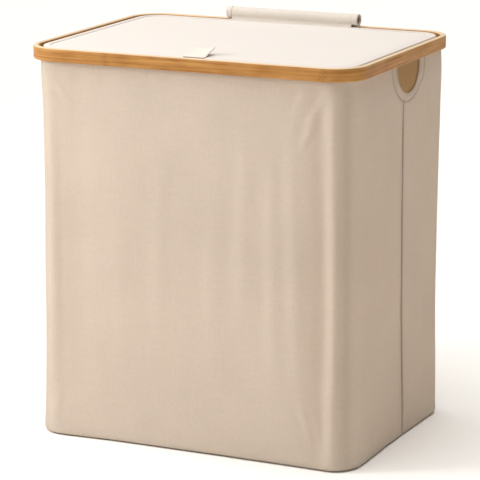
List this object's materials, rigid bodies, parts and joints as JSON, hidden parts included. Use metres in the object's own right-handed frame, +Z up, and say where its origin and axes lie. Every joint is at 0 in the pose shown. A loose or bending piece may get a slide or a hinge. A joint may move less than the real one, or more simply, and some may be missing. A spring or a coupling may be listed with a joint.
{
  "type": "laundry hamper",
  "caption": "Tall rectangular canvas laundry hamper with rounded corners, a bent bamboo rim, side hand holes and a hinged fabric-covered lid.",
  "frame": {"origin": "centre of the footprint, on the floor", "axes": "+X right, +Y rear (the hinge side), +Z up"},
  "size_m": [0.45, 0.33, 0.516],
  "materials": {
    "bamboo": "satin varnish",
    "canvas": "matte weave",
    "canvas_light": "matte weave",
    "tape": "matte tape",
    "steel": "plain",
    "rod": "satin",
    "cap": "moulded",
    "fibreboard": "raw board",
    "dowel": "plain turned wood"
  },
  "bodies": {
    "basket": {"rim_hoop_outer": "bamboo", "rim_hoop_inner": "bamboo", "rim_brads": "steel", "body_panel_front": "canvas", "body_panel_rear": "canvas", "seam_tape_left": "tape", "seam_tape_right": "tape", "hand_hole_facing_left": "canvas", "hand_hole_facing_right": "canvas", "base_cloth": "canvas", "base_binding": "tape", "rod_front_left": "rod", "rod_front_right": "rod", "rod_rear_left": "rod", "rod_rear_right": "rod", "rod_end_caps": "cap", "rod_sleeve_front_left": "tape", "rod_sleeve_front_right": "tape", "rod_sleeve_rear_left": "tape", "rod_sleeve_rear_right": "tape", "hinge_dowel": "dowel", "hinge_loop_left": "canvas_light", "hinge_loop_right": "canvas_light"},
    "base_insert": {"base_board": "fibreboard", "base_board_cover": "canvas"},
    "lid": {"lid_board": "fibreboard", "lid_cover_top": "canvas_light", "lid_cover_bottom": "canvas_light", "lid_binding": "canvas_light", "lid_hinge_sleeve": "canvas_light", "lid_hinge_flap": "canvas_light", "tab_tail": "canvas_light"},
    "pull_tab": {"pull_tab": "canvas_light"}
  },
  "joints": [
    {"name": "lid_hinge", "type": "hinge", "parent": "basket", "child": "lid", "pos_m": [0, 0.157, 0.5082], "axis": [-1, 0, 0], "range_deg": [0, 262]},
    {"name": "tab_fold", "type": "hinge", "parent": "lid", "child": "pull_tab", "pos_m": [0.008, -0.1475, 0.5001], "axis": [1, 0, 0], "range_deg": [0, 135]},
    {"name": "base_lift", "type": "slide", "parent": "basket", "child": "base_insert", "axis": [0, 0, 1], "range_m": [0, 0.45]}
  ]
}
